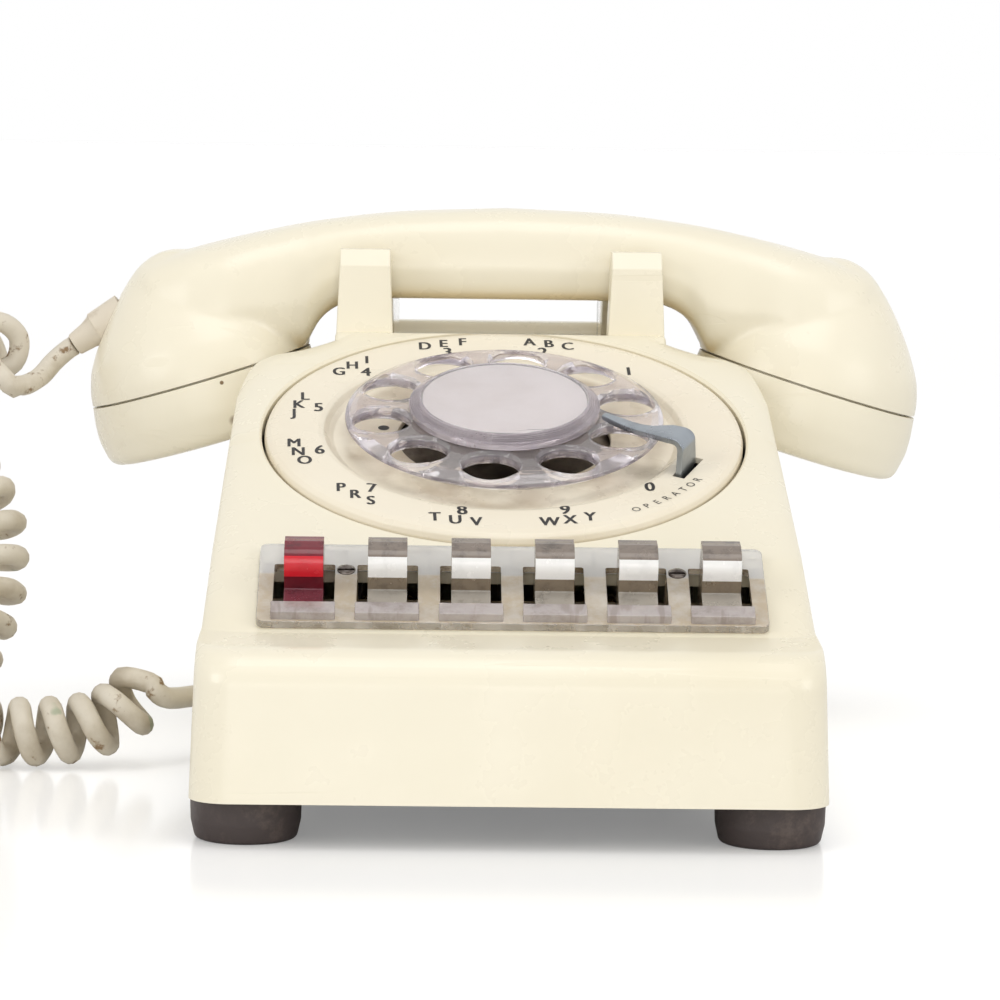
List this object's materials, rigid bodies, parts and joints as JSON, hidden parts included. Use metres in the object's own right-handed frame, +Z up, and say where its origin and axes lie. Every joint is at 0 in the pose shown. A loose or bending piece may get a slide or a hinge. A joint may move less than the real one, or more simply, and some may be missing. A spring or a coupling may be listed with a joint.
{
  "type": "rotary desk telephone",
  "caption": "Low ivory desk telephone with a sloping dial, a row of line keys, a handset in a raised cradle and a coiled cord.",
  "frame": {"origin": "on the table, under the middle of the set", "axes": "-Y towards the user, where the dial and keys face; +Y to the rear; +X to the right; +Z up"},
  "size_m": [0.2581, 0.2338, 0.1323],
  "materials": {
    "ivory": "satin",
    "plate_cream": "satin",
    "sheet_steel": "satin",
    "shaft_steel": "satin",
    "stop_steel": "satin",
    "spring_steel": "satin",
    "brass": "satin",
    "gong_brass": "polished",
    "clear_wheel": "polished",
    "clear_window": "polished",
    "paper": "matte",
    "red_key": "polished",
    "clear_key": "polished",
    "clear_plunger": "polished",
    "dark_plastic": "matte",
    "unit_metal": "satin",
    "coil_winding": "satin",
    "foot_rubber": "matte",
    "cord_vinyl": "satin"
  },
  "bodies": {
    "base": {"housing": "ivory", "base_plate": "sheet_steel", "feet": "foot_rubber", "housing_screws": "sheet_steel", "number_plate": "plate_cream", "finger_stop": "stop_steel", "dial_case": "sheet_steel", "dial_screws": "sheet_steel", "governor_cup": "sheet_steel", "pulse_springs": "brass", "key_strip": "clear_window", "designation_strip": "paper", "strip_screws": "shaft_steel", "key_spring_1": "spring_steel", "key_spring_2": "spring_steel", "key_spring_3": "spring_steel", "key_spring_4": "spring_steel", "key_spring_5": "spring_steel", "key_spring_6": "spring_steel", "key_frame": "sheet_steel", "key_contacts": "brass", "hook_bracket": "sheet_steel", "hook_contacts": "brass", "network_block": "dark_plastic", "network_terminals": "shaft_steel", "ringer_frame": "sheet_steel", "ringer_coil": "coil_winding", "gong_left": "gong_brass", "gong_right": "gong_brass", "side_grommet": "cord_vinyl", "rear_grommet": "foot_rubber", "cord_hanging_coil": "cord_vinyl", "cord_floor_coil": "cord_vinyl", "cord_tail": "cord_vinyl"},
    "dial_wheel": {"finger_wheel": "clear_wheel", "card_window": "clear_window", "number_card": "paper", "dial_shaft": "shaft_steel", "main_gear": "brass"},
    "governor": {"governor": "brass"},
    "handset": {"handset_handle": "ivory", "transmitter_cap": "ivory", "receiver_cap": "ivory", "transmitter_unit": "unit_metal", "receiver_unit": "dark_plastic", "handset_grommet": "cord_vinyl", "cord_lead": "cord_vinyl"},
    "plunger_l": {"plunger_left": "clear_plunger"},
    "plunger_r": {"plunger_right": "clear_plunger"},
    "hook_lever": {"hook_lever": "sheet_steel"},
    "clapper": {"clapper": "sheet_steel"},
    "loudness_wheel": {"loudness_wheel": "dark_plastic"},
    "key_1": {"key_1": "red_key"},
    "key_2": {"key_2": "clear_key"},
    "key_3": {"key_3": "clear_key"},
    "key_4": {"key_4": "clear_key"},
    "key_5": {"key_5": "clear_key"},
    "key_6": {"key_6": "clear_key"}
  },
  "joints": [
    {"name": "dial_turn", "type": "hinge", "parent": "base", "child": "dial_wheel", "pos_m": [0, -0.006, 0.08233], "axis": [0, 0.3502, -0.9367], "range_deg": [0, 330]},
    {"name": "governor_spin", "type": "hinge", "parent": "base", "child": "governor", "pos_m": [0.00084, -0.02856, 0.07389], "axis": [0, 0.3502, -0.9367], "range_deg": [-1325, 0]},
    {"name": "handset_lift", "type": "slide", "parent": "base", "child": "handset", "axis": [0, 0, 1], "range_m": [0, 0.04], "deforming": ["cord_hanging_coil"]},
    {"name": "plunger_left_rise", "type": "slide", "parent": "base", "child": "plunger_l", "axis": [0, 0, 1], "range_m": [0, 0.0055]},
    {"name": "plunger_right_rise", "type": "slide", "parent": "base", "child": "plunger_r", "axis": [0, 0, 1], "range_m": [0, 0.0055]},
    {"name": "hook_lever_turn", "type": "hinge", "parent": "base", "child": "hook_lever", "pos_m": [0, 0.057, 0.072], "axis": [1, 0, 0], "range_deg": [0, 13.5]},
    {"name": "clapper_swing", "type": "hinge", "parent": "base", "child": "clapper", "pos_m": [0, 0.065, 0.0229], "axis": [0, 0, 1], "range_deg": [-12, 12], "stiffness_Nm_per_rad": 0.002},
    {"name": "loudness_turn", "type": "hinge", "parent": "base", "child": "loudness_wheel", "pos_m": [-0.038, 0.05, 0.015], "axis": [0, 1, 0], "range_deg": [-60, 60]},
    {"name": "key_1_press", "type": "slide", "parent": "base", "child": "key_1", "axis": [0, 0.454, -0.891], "range_m": [0, 0.003], "stiffness_N_per_m": 150, "springref_m": -0.002, "deforming": ["key_spring_1"]},
    {"name": "key_2_press", "type": "slide", "parent": "base", "child": "key_2", "axis": [0, 0.454, -0.891], "range_m": [0, 0.003], "stiffness_N_per_m": 150, "springref_m": -0.002, "deforming": ["key_spring_2"]},
    {"name": "key_3_press", "type": "slide", "parent": "base", "child": "key_3", "axis": [0, 0.454, -0.891], "range_m": [0, 0.003], "stiffness_N_per_m": 150, "springref_m": -0.002, "deforming": ["key_spring_3"]},
    {"name": "key_4_press", "type": "slide", "parent": "base", "child": "key_4", "axis": [0, 0.454, -0.891], "range_m": [0, 0.003], "stiffness_N_per_m": 150, "springref_m": -0.002, "deforming": ["key_spring_4"]},
    {"name": "key_5_press", "type": "slide", "parent": "base", "child": "key_5", "axis": [0, 0.454, -0.891], "range_m": [0, 0.003], "stiffness_N_per_m": 150, "springref_m": -0.002, "deforming": ["key_spring_5"]},
    {"name": "key_6_press", "type": "slide", "parent": "base", "child": "key_6", "axis": [0, 0.454, -0.891], "range_m": [0, 0.003], "stiffness_N_per_m": 150, "springref_m": -0.002, "deforming": ["key_spring_6"]}
  ],
  "couplings": [
    {"joint": "governor_spin", "follows": "dial_turn", "ratio": -4},
    {"joint": "plunger_left_rise", "follows": "handset_lift", "ratio": 0.1375},
    {"joint": "plunger_right_rise", "follows": "handset_lift", "ratio": 0.1375},
    {"joint": "hook_lever_turn", "follows": "handset_lift", "rad_per_m": 5.8904}
  ]
}
